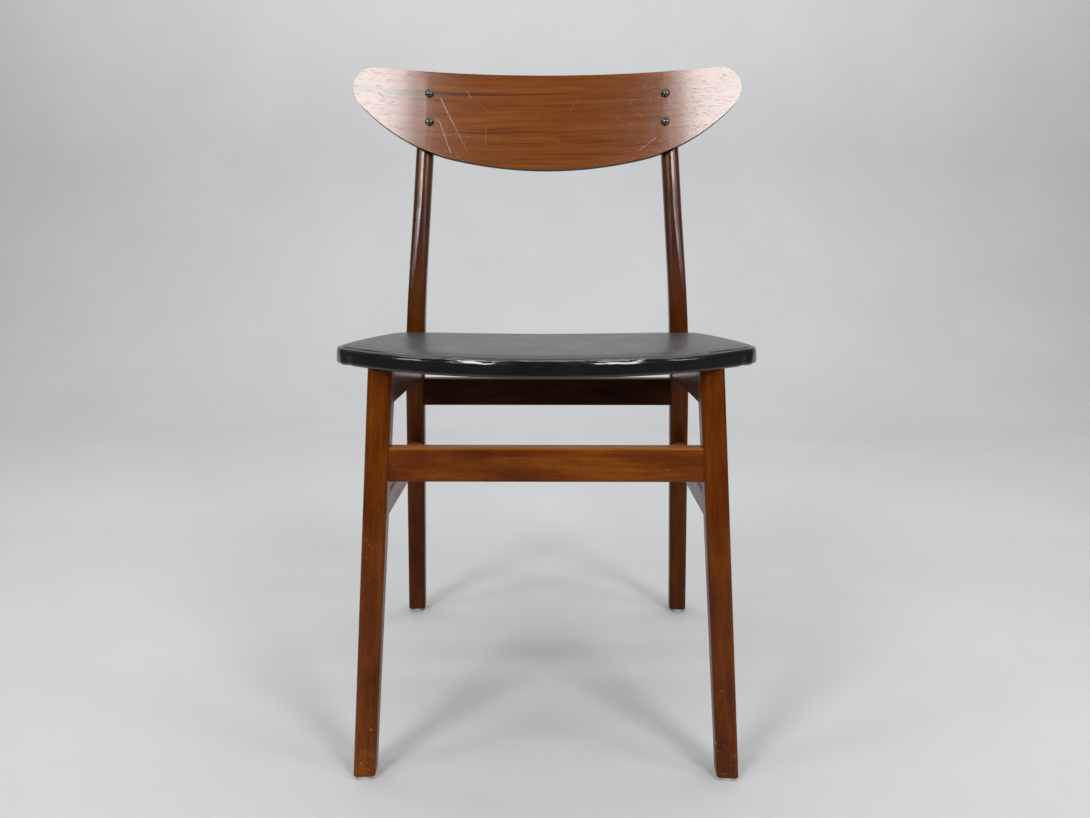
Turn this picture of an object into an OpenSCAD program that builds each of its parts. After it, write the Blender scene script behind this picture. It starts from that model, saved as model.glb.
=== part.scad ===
// Dining chair: splayed wooden frame, padded seat and curved plywood backrest.
// X is the width, Y runs from the seat's front edge to the rear feet, Z is up.
// Z = 0 is the floor, and the origin is the middle of the chair's footprint.

/* [Overall] */
// Width over the ends of the backrest
back_width = 510; // [430:5:610]
// Depth from the seat's front edge to the back of the rear feet
overall_depth = 470; // [400:5:560]
// Height of the middle of the seat's front edge
seat_height = 436; // [370:2:520]
// Height of the middle of the backrest's top edge
overall_height = 781; // [680:1:900]

/* [Seat] */
// Greatest width of the seat
seat_width = 442; // [390:2:520]
// Depth of the seat on its centre line
seat_depth = 379; // [330:1:440]
// Distance from the seat's front edge to its widest part
seat_widest = 134; // [90:1:200]
// Radius of the bowed front edge
front_bow_radius = 285; // [250:5:900]
// Radius of the bowed side edges
side_bow_radius = 1500; // [700:50:3000]
// Radius of the rounded seat corners
seat_corner = 45; // [20:1:60]
// Radius of the side-to-side dish of the seat
seat_dish = 5200; // [3000:100:9000]
// Fall of the seat towards the rear, in degrees
seat_tilt = 0.9; // [0:0.1:4]
// Thickness of the seat's plywood board
board_t = 9; // [6:0.5:14]
// Thickness of the seat's foam
foam_t = 8; // [5:0.5:25]
// Thickness of the seat's cover
cover_t = 1; // [0.8:0.1:2]
// Width of cover turned under the board
hem_width = 22; // [16:1:30]
// Distance from the cover's edge to its line of staples
staple_inset = 13; // [8:0.5:20]
// Width of a staple's crown
staple_width = 10; // [6:0.5:14]
// Depth that a staple goes in
staple_depth = 6; // [4:0.5:8]
// Thickness of staple wire
staple_wire = 0.7; // [0.5:0.1:1.2]

/* [Front legs] */
// Distance between the front legs' centres under the seat
front_leg_spacing = 331; // [280:1:380]
// Distance from the seat's front edge to the front legs' centres
front_leg_setback = 76; // [60:1:110]
// Outward splay of the front legs, in degrees
front_splay = 2.95; // [0:0.05:6]
// Forward rake of the front legs, in degrees
front_rake = 6.1; // [0:0.1:9]
// Width of a front leg at the top
front_leg_w = 25; // [21:0.5:36]
// Depth of a front leg at the top
front_leg_d = 30; // [25:0.5:42]
// Width of a front leg at the foot
front_foot_w = 22.5; // [18:0.5:32]
// Depth of a front leg at the foot
front_foot_d = 25; // [20:0.5:36]

/* [Rear legs] */
// Distance between the rear legs' centres at the bend
rear_leg_spacing = 366; // [320:1:420]
// Gap between the seat's rear edge and the front of the rear legs
rear_leg_gap = 1; // [0.5:0.5:12]
// Height of the bend in the rear legs
bend_height = 430; // [370:2:520]
// Half height over which the bend is rounded
bend_reach = 80; // [30:5:110]
// Outward splay of the rear legs below the bend, in degrees
rear_splay = 2.35; // [0:0.05:6]
// Backward lean of the posts and the backrest, in degrees
post_lean = 8; // [2:0.5:16]
// Inward lean of the posts, in degrees
post_inward = 3.35; // [0:0.05:6]
// Width of a rear leg at the bend
rear_leg_w = 25; // [21:0.5:36]
// Depth of a rear leg at the bend
rear_leg_d = 30; // [25:0.5:42]
// Width of a rear leg at the foot
rear_foot_w = 24.5; // [18:0.5:32]
// Depth of a rear leg at the foot
rear_foot_d = 26; // [20:0.5:36]
// Diameter of a post behind the backrest
post_d = 24.6; // [20:0.2:32]
// Distance from the backrest's top edge down to the top of the posts
post_top_drop = 18; // [8:1:40]
// Radius of the legs' long corners
leg_corner = 5; // [2:0.5:8]

/* [Rails] */
// Thickness of the side rails
side_rail_t = 20; // [16:0.5:22]
// Distance from the seat's underside to the side rails' lower edge, at the front
side_rail_front = 35; // [30:1:50]
// Distance from the seat's front underside to the side rails' lower edge, at the rear
side_rail_rear = 46; // [40:1:60]
// Setback of a side rail's face behind the face of its leg
rail_setback = 1.5; // [0.5:0.5:4]
// Setback of the front stretcher and the rear rail behind their legs' faces, at mid height
cross_setback = 4; // [3:0.5:6]
// Thickness of the side stretchers
side_stretcher_t = 18; // [14:0.5:20]
// Height of the side stretchers' own section
side_stretcher_h = 26; // [22:1:44]
// Height of the side stretchers' lower edge at the front legs
side_stretcher_front_z = 263; // [150:1:290]
// Height of the side stretchers' lower edge at the rear legs
side_stretcher_rear_z = 247; // [150:1:290]
// Thickness of the front stretcher
front_stretcher_t = 20; // [16:0.5:22]
// Height of the front stretcher's own section
front_stretcher_h = 35; // [28:1:44]
// Height of the front stretcher's lower edge
front_stretcher_z = 305; // [300:1:340]
// Thickness of the rear rail
rear_rail_t = 20; // [16:0.5:22]
// Height of the rear rail's own section
rear_rail_h = 38; // [28:1:40]
// Height of the rear rail's lower edge
rear_rail_z = 328; // [320:1:336]
// Radius of the rails' long edges
rail_edge = 3; // [1:0.5:5]

/* [Dowels and screws] */
// Diameter of the dowels
dowel_d = 8; // [6:0.5:10]
// Length of dowel in the leg
dowel_in_leg = 14; // [10:0.5:18]
// Length of dowel in the rail
dowel_in_rail = 20; // [14:0.5:30]
// Distance between the two dowels of a joint
dowel_pitch = 14; // [12:0.5:20]
// Distance between the two dowels of a side stretcher's joint
stretcher_dowel_pitch = 11; // [10.5:0.5:16]
// Extra diameter and depth of a dowel's hole
dowel_fit = 0.2; // [0.1:0.05:0.5]
// Extra diameter of a screw's pilot hole and of a nail's hole
screw_fit = 0.1; // [0.05:0.05:0.3]
// Extra diameter of a screw's clearance hole and of its counterbore
screw_clear = 0.6; // [0.3:0.1:1]
// Diameter of the seat screws
seat_screw_d = 4.5; // [3.5:0.5:6]
// Diameter of the seat screws' heads
seat_screw_head = 9; // [7:0.5:12]
// Depth of the counterbore for a seat screw
seat_screw_bore = 8; // [4:0.5:14]
// Distance along a side rail from a leg's centre to the seat screw by it
seat_screw_from_leg = 66; // [45:1:110]
// Diameter of the backrest screws
back_screw_d = 4; // [3:0.5:5]
// Length of a backrest screw beyond the shell
back_screw_reach = 16; // [10:0.5:18]
// Diameter of the backrest screws' heads
back_screw_head = 8; // [6:0.5:9]
// Height of the backrest screws' heads
back_screw_head_t = 3; // [2:0.5:4]
// Diameter of the caps over the backrest screws
cap_d = 12; // [9.5:0.5:16]
// Height of the caps' domes
cap_h = 3.5; // [2:0.5:5]

/* [Backrest] */
// Height of the backrest along its lean, on its centre line
back_height = 129; // [110:1:160]
// Radius of the concave front of the backrest
back_radius = 613; // [450:5:1200]
// Thickness of the backrest's plywood
back_t = 10; // [7:0.5:14]
// Radius of the long arc of the top edge
back_top_radius = 4920; // [2500:10:9000]
// Radius of the middle arc of the lower edge
back_low_radius = 745; // [720:5:1200]
// Radius of the shoulder arcs of the lower edge
back_shoulder_radius = 221; // [150:1:300]
// Radius of the backrest's tips
back_tip_radius = 31; // [20:1:40]
// Depth that the shell sits into the posts
post_bite = 3.5; // [1.5:0.5:5]
// Distance between the screws on the left and on the right, along the front face
back_screw_spacing = 320; // [280:2:360]
// Distance between the two screws of one post
back_screw_pitch = 38; // [28:1:50]
// Distance from the backrest's top edge to the upper screws
back_screw_drop = 32; // [24:1:44]

/* [Feet] */
// Diameter of the glides
glide_d = 22; // [16:0.5:30]
// Thickness of the glides
glide_t = 4; // [3.5:0.5:8]
// Chamfer of the glides' lower edge
glide_chamfer = 1; // [0.4:0.1:1.5]
// Diameter of the glides' nails
nail_d = 2; // [1.5:0.1:3]
// Diameter of the nails' heads
nail_head = 6; // [4:0.5:9]
// Length of nail in the leg
nail_in_leg = 16; // [10:1:25]

/* [Hidden] */
$fn = 64;
front_y = -overall_depth / 2;
seat_t = board_t + foam_t + 2 * cover_t;
// Height of the seat's underside at the middle of its front edge.
seat_under = seat_height - seat_t;
wood = [0.48, 0.26, 0.10];
shade_wood = [0.40, 0.21, 0.08];
pale_wood = [0.80, 0.66, 0.46];
black = [0.06, 0.06, 0.06];
steel = [0.62, 0.62, 0.62];

// ---- Where the legs run ----
knee_y = front_y + seat_depth + rear_leg_gap + rear_leg_d / 2;
knee_x = rear_leg_spacing / 2;
rear_foot_x = knee_x + tan(rear_splay) * bend_height;
front_top_x = front_leg_spacing / 2;
front_top_y = front_y + front_leg_setback;

// Centre of the right front leg at a height.
function front_leg_at(z) = [
    front_top_x + tan(front_splay) * (seat_under - z),
    front_top_y - tan(front_rake) * (seat_under - z),
    z
];

// Turn of a side frame, seen from above: the line from the front leg to the bend.
frame_yaw = atan((knee_x - front_top_x) / (knee_y - front_top_y));

// Distance from a turned rounded rectangle's centre to its furthest point along Y.
function ring_reach(w, d, r) = (d / 2 - r) * cos(frame_yaw) + (w / 2 - r) * sin(frame_yaw) + r;
rear_foot_y = overall_depth / 2 - ring_reach(rear_foot_w, rear_foot_d, leg_corner);
rear_slope = (knee_y - rear_foot_y) / (bend_height - glide_t);

// A bend between two straight runs that meet at height 0, rounded over +-reach.
function rounded_bend(z, below, above, reach) =
    z <= -reach ? below * z :
    z >= reach ? above * z :
    (above - below) * pow(z + reach, 2) / (4 * reach) + below * z;

// Centre of the right rear leg and its post at a height.
function rear_leg_at(z) = [
    knee_x + rounded_bend(z - bend_height, -tan(rear_splay), -tan(post_inward), bend_reach),
    knee_y + rounded_bend(z - bend_height, rear_slope, tan(post_lean), bend_reach),
    z
];

function blend(a, b, t) = a + (b - a) * min(max(t, 0), 1);
function front_share(z) = (z - glide_t) / (seat_under - glide_t);
function front_w(z) = blend(front_foot_w, front_leg_w, front_share(z));
function front_d(z) = blend(front_foot_d, front_leg_d, front_share(z));
function rear_share(z) = (z - glide_t) / (bend_height - bend_reach - glide_t);
// The section stays square to a little above the seat, then turns round over the next stretch.
post_start = bend_height;
post_full = bend_height + 170;
function post_share(z) = (z - post_start) / (post_full - post_start);
function rear_w(z) = blend(blend(rear_foot_w, rear_leg_w, rear_share(z)), post_d, post_share(z));
function rear_d(z) = blend(blend(rear_foot_d, rear_leg_d, rear_share(z)), post_d, post_share(z));
function rear_r(z) = blend(leg_corner, post_d / 2 - 0.2, post_share(z));

// ---- Backrest frame: v runs up the lean, u = 0 and v = 0 are the middle of the top edge ----
back_low_v = -back_height;
top_centre = [0, -back_top_radius];
low_centre = [0, back_low_v + back_low_radius];
tip_u = back_width / 2 - back_tip_radius;
tip_v = -back_top_radius + sqrt(pow(back_top_radius - back_tip_radius, 2) - tip_u * tip_u);
tip_centre = [tip_u, tip_v];

// One of the two points at given distances from a and b.
function meeting(a, ra, b, rb) =
    let (d = norm(b - a))
    let (s = (d * d + ra * ra - rb * rb) / (2 * d))
    let (h = sqrt(max(0, ra * ra - s * s)))
    let (u = (b - a) / d)
    a + s * u - h * [-u[1], u[0]];
shoulder_centre = meeting(
    low_centre, back_low_radius - back_shoulder_radius,
    tip_centre, back_shoulder_radius - back_tip_radius
);
low_end = low_centre
    + back_low_radius * (shoulder_centre - low_centre) / norm(shoulder_centre - low_centre);
shoulder_end = shoulder_centre
    + back_shoulder_radius * (tip_centre - shoulder_centre) / norm(tip_centre - shoulder_centre);

// Height and depth of the backrest's origin, so that the shell sits post_bite into the posts.
screw_mid_z = overall_height - (back_screw_drop + back_screw_pitch / 2) * cos(post_lean);
post_ref = rear_leg_at(screw_mid_z);
post_centre_r = back_radius + back_t + post_d / 2 - post_bite;
post_from_axis = sqrt(post_centre_r * post_centre_r - post_ref[0] * post_ref[0]);
back_origin_y = post_ref[1] - (post_from_axis - back_radius) / cos(post_lean)
    + tan(post_lean) * (overall_height - screw_mid_z);

module in_back_frame() {
    translate([0, back_origin_y, overall_height])
        rotate([-post_lean, 0, 0])
            children();
}

// ---- Seat frame: origin at the middle of the front edge's underside ----
module in_seat_frame() {
    translate([0, front_y, seat_under])
        rotate([-seat_tilt, 0, 0])
            children();
}

// Height of the seat's underside above the floor.
function under_z(x, y) = seat_under - tan(seat_tilt) * (y - front_y) + x * x / (2 * seat_dish);

module both_sides() {
    children();
    mirror([1, 0, 0])
        children();
}

// ---- Shapes ----
// Outline of a rounded rectangle as points, six steps to a corner.
function ring(w, d, r) = [
    for (q = [0:3])
    for (i = [0:6])
        let (a = q * 90 + i * 15)
        let (sx = (q == 0 || q == 3) ? 1 : -1)
        let (sy = (q < 2) ? 1 : -1)
        [sx * (w / 2 - r) + r * cos(a), sy * (d / 2 - r) + r * sin(a)]
];

function turned(p, a) = [p[0] * cos(a) - p[1] * sin(a), p[0] * sin(a) + p[1] * cos(a)];

// Skin over rings of points at rising heights. Each ring has the same number of points.
module skin(rings) {
    n = len(rings[0]);
    m = len(rings);
    polyhedron(
        points = [for (g = rings) for (p = g) p],
        faces = concat(
            [[for (i = [0:n - 1]) i]],
            [[for (i = [0:n - 1]) (m - 1) * n + n - 1 - i]],
            [
                for (k = [0:m - 2])
                for (i = [0:n - 1])
                for (h = [0:1])
                    let (a = k * n + i)
                    let (b = k * n + (i + 1) % n)
                    h == 0 ? [a, a + n, b] : [b, a + n, b + n]
            ]
        )
    );
}

function front_ring(z) = [
    for (p = ring(front_w(z), front_d(z), leg_corner))
        let (q = turned(p, -frame_yaw))
        [front_leg_at(z)[0] + q[0], front_leg_at(z)[1] + q[1], z]
];

function rear_ring(z) = [
    for (p = ring(rear_w(z), rear_d(z), rear_r(z)))
        let (q = turned(p, -frame_yaw))
        [rear_leg_at(z)[0] + q[0], rear_leg_at(z)[1] + q[1], z]
];

// The right front leg, uncut. Its top passes the seat's underside.
module front_leg_body() {
    skin([for (z = [glide_t, seat_under + 12]) front_ring(z)]);
}

post_top_z = overall_height - post_top_drop;
bend_low = bend_height - bend_reach;
bend_high = bend_height + bend_reach;
// Heights of the rear leg's rings, close together through the bend and the change to round.
rear_levels = concat(
    [glide_t],
    [for (i = [0:8]) bend_low + i * (bend_high - bend_low) / 8],
    [for (i = [1:4]) bend_high + i * (post_full - bend_high) / 4],
    [post_top_z - 6]
);

// The right rear leg, uncut, with a softened top.
module rear_leg_body() {
    top = [
        for (s = [[6, 1], [3.2, 0.93], [1.2, 0.8], [0, 0.6]])
            let (z = post_top_z - s[0])
            [
                for (p = ring(rear_w(z), rear_d(z), rear_r(z)))
                    let (q = turned(p * s[1], -frame_yaw))
                    [rear_leg_at(z)[0] + q[0], rear_leg_at(z)[1] + q[1], z]
            ]
    ];
    levels = [for (z = rear_levels) if (z < post_top_z - 7) z];
    skin(concat([for (z = levels) rear_ring(z)], top));
}

// Bar of rounded section along Y, centred on X and Z.
module rounded_bar(w, h, l, r) {
    rotate([-90, 0, 0])
        linear_extrude(height = l)
            union() {
                square([w - 2 * r, h], center = true);
                square([w, h - 2 * r], center = true);
                for (sx = [-1, 1], sy = [-1, 1])
                    translate([sx * (w / 2 - r), sy * (h / 2 - r)])
                        circle(r = r);
            }
}

// Everything above the seat's underside, to trim what carries the seat.
module above_seat() {
    in_seat_frame()
        translate([0, overall_depth + 60, 0])
            rotate([90, 0, 0])
                linear_extrude(height = overall_depth + 120)
                    intersection() {
                        translate([-400, -5])
                            square([800, 95]);
                        translate([0, seat_dish])
                            circle(r = seat_dish, $fn = 1440);
                    }
}

// ---- Side rails and side stretchers ----
// Frame of a member between the legs at a height: origin on the front leg's centre line,
// Y runs to the rear leg's centre, and the top leans in with the legs.
function span(z) = rear_leg_at(z) - front_leg_at(z);
function span_yaw(z) = atan(span(z)[0] / span(z)[1]);
function span_length(z) = norm([span(z)[0], span(z)[1]]);
frame_roll = (front_splay + rear_splay) / 2;
side_rail_mid = seat_under - (side_rail_front + side_rail_rear) / 4;
side_stretcher_mid = (side_stretcher_front_z + side_stretcher_rear_z + side_stretcher_h) / 2;

module in_span(z) {
    translate(front_leg_at(z))
        rotate([0, 0, -span_yaw(z)])
            rotate([0, -frame_roll, 0])
                children();
}

rail_shift = -(front_leg_w / 2 - rail_setback - side_rail_t / 2);
stretcher_shift = -(front_leg_w / 2 - rail_setback - side_stretcher_t / 2 - 1);
rail_length = span_length(side_rail_mid);
stretcher_length = span_length(side_stretcher_mid);
stretcher_fall = atan((side_stretcher_front_z - side_stretcher_rear_z) / stretcher_length);
// The rail's lower edge in the span frame, at the front and at the rear leg's centre.
rail_low_front = seat_under - side_rail_front - side_rail_mid;
rail_low_rear = seat_under - side_rail_rear - side_rail_mid;
front_face = front_leg_d / 2;
rear_face = rail_length - rear_leg_d / 2;
stretcher_front_face = front_d(side_stretcher_mid) / 2;
stretcher_rear_face = stretcher_length - rear_d(side_stretcher_mid) / 2;

// Frame of a side stretcher: the frame of its span, tipped down to the rear.
module in_stretcher() {
    in_span(side_stretcher_mid)
        translate([0, stretcher_length / 2, 0])
            rotate([-stretcher_fall, 0, 0])
                translate([0, -stretcher_length / 2, 0])
                    children();
}

module right_side_rail_blank() {
    in_span(side_rail_mid)
        translate([rail_shift - side_rail_t / 2, 0, 0])
            rotate([90, 0, 90])
                linear_extrude(height = side_rail_t)
                    polygon([
                        [front_face - leg_corner, rail_low_front],
                        [rear_face + leg_corner, rail_low_rear],
                        [rear_face + leg_corner, side_rail_front + 8],
                        [front_face - leg_corner, side_rail_front + 8]
                    ]);
}

module right_side_stretcher_blank() {
    in_stretcher()
        translate([stretcher_shift, stretcher_front_face - leg_corner, 0])
            rounded_bar(
                side_stretcher_t,
                side_stretcher_h,
                stretcher_rear_face - stretcher_front_face + 2 * leg_corner,
                rail_edge
            );
}

// Heights of a side rail's dowels above the lower edge.
rail_dowel_low = side_rail_front / 2 - dowel_pitch / 2;
function rail_low_at(y) = rail_low_front + (rail_low_rear - rail_low_front) * y / rail_length;

// The dowels of the right side rail, grown by extra in diameter and at each end.
module right_rail_dowels(extra) {
    in_span(side_rail_mid)
        for (k = [0, 1]) {
            translate([
                rail_shift,
                front_face - dowel_in_leg - extra,
                rail_low_at(front_face) + rail_dowel_low + k * dowel_pitch
            ])
                rotate([-90, 0, 0])
                    cylinder(d = dowel_d + extra, h = dowel_in_leg + dowel_in_rail + 2 * extra);
            translate([
                rail_shift,
                rear_face - dowel_in_rail - extra,
                rail_low_at(rear_face) + rail_dowel_low + k * dowel_pitch
            ])
                rotate([-90, 0, 0])
                    cylinder(d = dowel_d + extra, h = dowel_in_leg + dowel_in_rail + 2 * extra);
        }
}

module right_stretcher_dowels(extra) {
    in_stretcher()
        for (k = [-1, 1]) {
            translate([
                stretcher_shift,
                stretcher_front_face - dowel_in_leg - extra,
                k * stretcher_dowel_pitch / 2
            ])
                rotate([-90, 0, 0])
                    cylinder(d = dowel_d + extra, h = dowel_in_leg + dowel_in_rail + 2 * extra);
            translate([
                stretcher_shift,
                stretcher_rear_face - dowel_in_rail - extra,
                k * stretcher_dowel_pitch / 2
            ])
                rotate([-90, 0, 0])
                    cylinder(d = dowel_d + extra, h = dowel_in_leg + dowel_in_rail + 2 * extra);
        }
}

// ---- Front stretcher and rear rail ----
front_mid_z = front_stretcher_z + front_stretcher_h / 2;
rear_mid_z = rear_rail_z + rear_rail_h / 2;
front_stretcher_y = front_leg_at(front_mid_z)[1] - front_d(front_mid_z) / 2
    + cross_setback + front_stretcher_t / 2;
rear_rail_y = rear_leg_at(rear_mid_z)[1] - rear_d(rear_mid_z) / 2
    + cross_setback + rear_rail_t / 2;
front_stretcher_end = front_leg_at(front_mid_z)[0] - front_w(front_mid_z) / 2;
rear_rail_end = rear_leg_at(rear_mid_z)[0] - rear_w(rear_mid_z) / 2;

// Dowels between a leg and a crosswise member that ends at x = end_x.
module right_cross_dowels(end_x, y, mid_z, extra) {
    for (k = [-1, 1])
        translate([end_x - dowel_in_rail - extra, y, mid_z + k * dowel_pitch / 2])
            rotate([0, 90, 0])
                cylinder(d = dowel_d + extra, h = dowel_in_leg + dowel_in_rail + 2 * extra);
}

module right_front_dowels(extra) {
    right_cross_dowels(front_stretcher_end, front_stretcher_y, front_mid_z, extra);
}

module right_rear_dowels(extra) {
    right_cross_dowels(rear_rail_end, rear_rail_y, rear_mid_z, extra);
}

module cross_bar(half, y, z, t, h) {
    translate([half, y, z])
        rotate([0, 0, 90])
            rounded_bar(t, h, 2 * half, rail_edge);
}

// ---- Screws up through the side rails into the seat ----
function rail_point(s) =
    let (f = front_leg_at(side_rail_mid))
    let (a = span_yaw(side_rail_mid))
    [f[0] + s * sin(a) + rail_shift * cos(a), f[1] + s * cos(a) - rail_shift * sin(a)];
seat_screw_at = [seat_screw_from_leg, rail_length - seat_screw_from_leg];

// Height of a seat screw's head face.
function seat_screw_z(s) = side_rail_mid + rail_low_at(s) + seat_screw_bore;
function seat_screw_tip(s) = under_z(rail_point(s)[0], rail_point(s)[1]) + cover_t + board_t - 1.5;

module right_seat_screws() {
    for (s = seat_screw_at)
        translate([rail_point(s)[0], rail_point(s)[1], seat_screw_z(s)]) {
            translate([0, 0, -3])
                cylinder(d = seat_screw_head, h = 3);
            cylinder(d = seat_screw_d, h = seat_screw_tip(s) - seat_screw_z(s) - 4);
            translate([0, 0, seat_screw_tip(s) - seat_screw_z(s) - 4])
                cylinder(d1 = seat_screw_d, d2 = 1, h = 4);
        }
}

module right_seat_screw_holes(d) {
    for (s = seat_screw_at)
        translate([rail_point(s)[0], rail_point(s)[1], seat_screw_z(s) - 0.01])
            cylinder(d = d, h = seat_screw_tip(s) - seat_screw_z(s) + 0.3);
}

module right_seat_screw_bores() {
    for (s = seat_screw_at)
        translate([rail_point(s)[0], rail_point(s)[1], seat_screw_z(s) - 30])
            cylinder(d = seat_screw_head + screw_clear, h = 30);
}

// ---- Seat ----
// Centres of the arcs round the seat. Each corner arc touches the two edges beside it.
front_arc = [0, front_bow_radius];
side_arc = [seat_width / 2 - side_bow_radius, seat_widest];
front_corner = meeting(
    side_arc, side_bow_radius - seat_corner,
    front_arc, front_bow_radius - seat_corner
);
rear_corner_y = seat_depth - seat_corner;
rear_corner_x = side_arc[0]
    + sqrt(pow(side_bow_radius - seat_corner, 2) - pow(rear_corner_y - seat_widest, 2));
rear_corner = [rear_corner_x, rear_corner_y];

// What lies outside a corner arc about c, between the directions u and w.
module corner_waste(c, u, w, r) {
    difference() {
        polygon([c, c + 2.5 * r * u, c + 2.5 * r * (u + w), c + 2.5 * r * w]);
        translate(c)
            circle(r = r, $fn = 144);
    }
}

// Outline of the seat from above, drawn in by inset. Y = 0 is the front edge.
module seat_outline(inset) {
    difference() {
        intersection() {
            translate(front_arc)
                circle(r = front_bow_radius - inset, $fn = 720);
            translate(side_arc)
                circle(r = side_bow_radius - inset, $fn = 1440);
            translate([-side_arc[0], side_arc[1]])
                circle(r = side_bow_radius - inset, $fn = 1440);
            translate([-seat_width, -20])
                square([2 * seat_width, seat_depth + 20 - inset]);
        }
        for (m = [0, 1])
            mirror([m, 0]) {
                corner_waste(
                    front_corner,
                    (front_corner - front_arc) / norm(front_corner - front_arc),
                    (front_corner - side_arc) / norm(front_corner - side_arc),
                    seat_corner - inset
                );
                corner_waste(
                    rear_corner,
                    (rear_corner - side_arc) / norm(rear_corner - side_arc),
                    [0, 1],
                    seat_corner - inset
                );
            }
    }
}

// A slab dished from side to side, from height a to height b above the seat's underside.
module dished_slab(a, b) {
    translate([0, seat_depth + 10, 0])
        rotate([90, 0, 0])
            linear_extrude(height = seat_depth + 20)
                intersection() {
                    translate([-seat_width / 2 - 10, -10])
                        square([seat_width + 20, seat_t + 50]);
                    difference() {
                        translate([0, seat_dish])
                            circle(r = seat_dish - a, $fn = 1440);
                        translate([0, seat_dish])
                            circle(r = seat_dish - b, $fn = 1440);
                    }
                }
}

// A dished layer of the seat between two heights above its underside.
module seat_layer(inset, a, b) {
    intersection() {
        dished_slab(a, b);
        translate([0, 0, -5])
            linear_extrude(height = seat_t + 40)
                seat_outline(inset);
    }
}

// One staple at a point of the underside, its crown along the given direction.
module staple(x, y, turn) {
    translate([x, y, seat_dish - sqrt(seat_dish * seat_dish - x * x)])
        rotate([0, -asin(x / seat_dish), 0])
            rotate([0, 0, turn]) {
                translate([-staple_width / 2, -staple_wire / 2, -staple_wire])
                    cube([staple_width, staple_wire, staple_wire]);
                for (s = [-1, 1])
                    translate([
                        s * (staple_width - staple_wire) / 2 - staple_wire / 2,
                        -staple_wire / 2,
                        -staple_wire / 2
                    ])
                        cube([staple_wire, staple_wire, staple_depth + staple_wire / 2]);
            }
}

// Reach of the staple line along each edge, clear of the legs, rails and corners.
front_staple_angle = asin((front_top_x - front_leg_w / 2 - staple_width) / front_bow_radius);
rear_staple_half = knee_x - rear_leg_w / 2 - side_rail_t - staple_width;
side_staple_y = [for (i = [0:4]) seat_widest - 20 + i * (seat_depth - seat_widest - 60) / 4];
function side_x(y) = seat_width / 2 - side_bow_radius
    + sqrt(pow(side_bow_radius - staple_inset, 2) - pow(y - seat_widest, 2));

module staples_in_seat_frame() {
    for (i = [-4:4]) {
        a = i * front_staple_angle / 4;
        r = front_bow_radius - staple_inset;
        staple(r * sin(a), front_bow_radius - r * cos(a), a);
    }
    for (i = [-3:3])
        staple(i * rear_staple_half / 3, seat_depth - staple_inset, 0);
    for (y = side_staple_y) {
        staple(side_x(y), y, 90);
        staple(-side_x(y), y, 90);
    }
}

// ---- Backrest ----
// Outline of the backrest, from tangent arcs. The lower edge runs middle, shoulder, tip.
module back_outline() {
    intersection() {
        translate(top_centre)
            circle(r = back_top_radius, $fn = 1440);
        union() {
            intersection() {
                translate(low_centre)
                    circle(r = back_low_radius, $fn = 720);
                translate([-low_end[0], back_low_v - 5])
                    square([2 * low_end[0], back_height + 20]);
            }
            for (m = [0, 1])
                mirror([m, 0])
                    intersection() {
                        translate(shoulder_centre)
                            circle(r = back_shoulder_radius, $fn = 360);
                        translate([low_end[0] - 15, back_low_v - 5])
                            square([tip_u - low_end[0] + 15, back_height + 20]);
                    }
        }
    }
    for (m = [0, 1])
        mirror([m, 0]) {
            intersection() {
                translate(shoulder_centre)
                    circle(r = back_shoulder_radius, $fn = 360);
                translate([tip_u - 15, back_low_v - 5])
                    square([shoulder_end[0] - tip_u + 15, tip_v - back_low_v + 5]);
            }
            translate(tip_centre)
                circle(r = back_tip_radius, $fn = 144);
        }
}

// The shell in its own frame: front surface through the origin, concave to the front.
module back_shell() {
    intersection() {
        translate([0, back_t + 20, 0])
            rotate([90, 0, 0])
                linear_extrude(height = back_t + 40 + back_width / 4)
                    back_outline();
        translate([0, -back_radius, -back_height - 20])
            difference() {
                cylinder(r = back_radius + back_t, h = back_height + 60, $fn = 720);
                translate([0, 0, -1])
                    cylinder(r = back_radius, h = back_height + 62, $fn = 720);
            }
    }
}

back_screw_turn = asin(back_screw_spacing / 2 / back_radius);

// Frame of each backrest screw on the right: origin on the front surface, Z into the shell.
module at_back_screws() {
    in_back_frame()
        for (k = [0, 1])
            translate([0, -back_radius, -back_screw_drop - k * back_screw_pitch])
                rotate([0, 0, -back_screw_turn])
                    translate([0, back_radius, 0])
                        rotate([-90, 0, 0])
                            children();
}

// Depth of the head below the front surface.
head_sunk = 0.6;
stem_d = 2.4;
stem_l = 2;

module back_screw() {
    translate([0, 0, head_sunk])
        difference() {
            union() {
                cylinder(d = back_screw_head, h = back_screw_head_t);
                cylinder(d = back_screw_d, h = back_t - head_sunk + back_screw_reach - 3);
                translate([0, 0, back_t - head_sunk + back_screw_reach - 3])
                    cylinder(d1 = back_screw_d, d2 = 1, h = 3);
            }
            translate([0, 0, -1])
                cylinder(d = stem_d + screw_fit, h = stem_l + 1.2);
        }
}

module back_screw_hole() {
    translate([0, 0, -1])
        cylinder(d = back_screw_head + screw_clear, h = head_sunk + back_screw_head_t + 1);
    cylinder(d = back_screw_d + screw_clear, h = back_t + 2);
}

module back_screw_pilot() {
    cylinder(d = back_screw_d + screw_fit, h = back_t + back_screw_reach + 0.3);
}

// Dome over a screw, with a short stem that plugs into the screw's head.
module screw_cap() {
    sphere_r = (cap_h * cap_h + cap_d * cap_d / 4) / (2 * cap_h);
    rotate_extrude()
        union() {
            intersection() {
                translate([0, sphere_r - cap_h - 0.05])
                    circle(r = sphere_r);
                translate([0, -cap_h - 0.05])
                    square([cap_d / 2, cap_h]);
            }
            translate([0, -0.1])
                square([stem_d / 2, head_sunk + stem_l]);
        }
}

// ---- Feet ----
front_foot = front_leg_at(glide_t);
rear_foot = rear_leg_at(glide_t);

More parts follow.
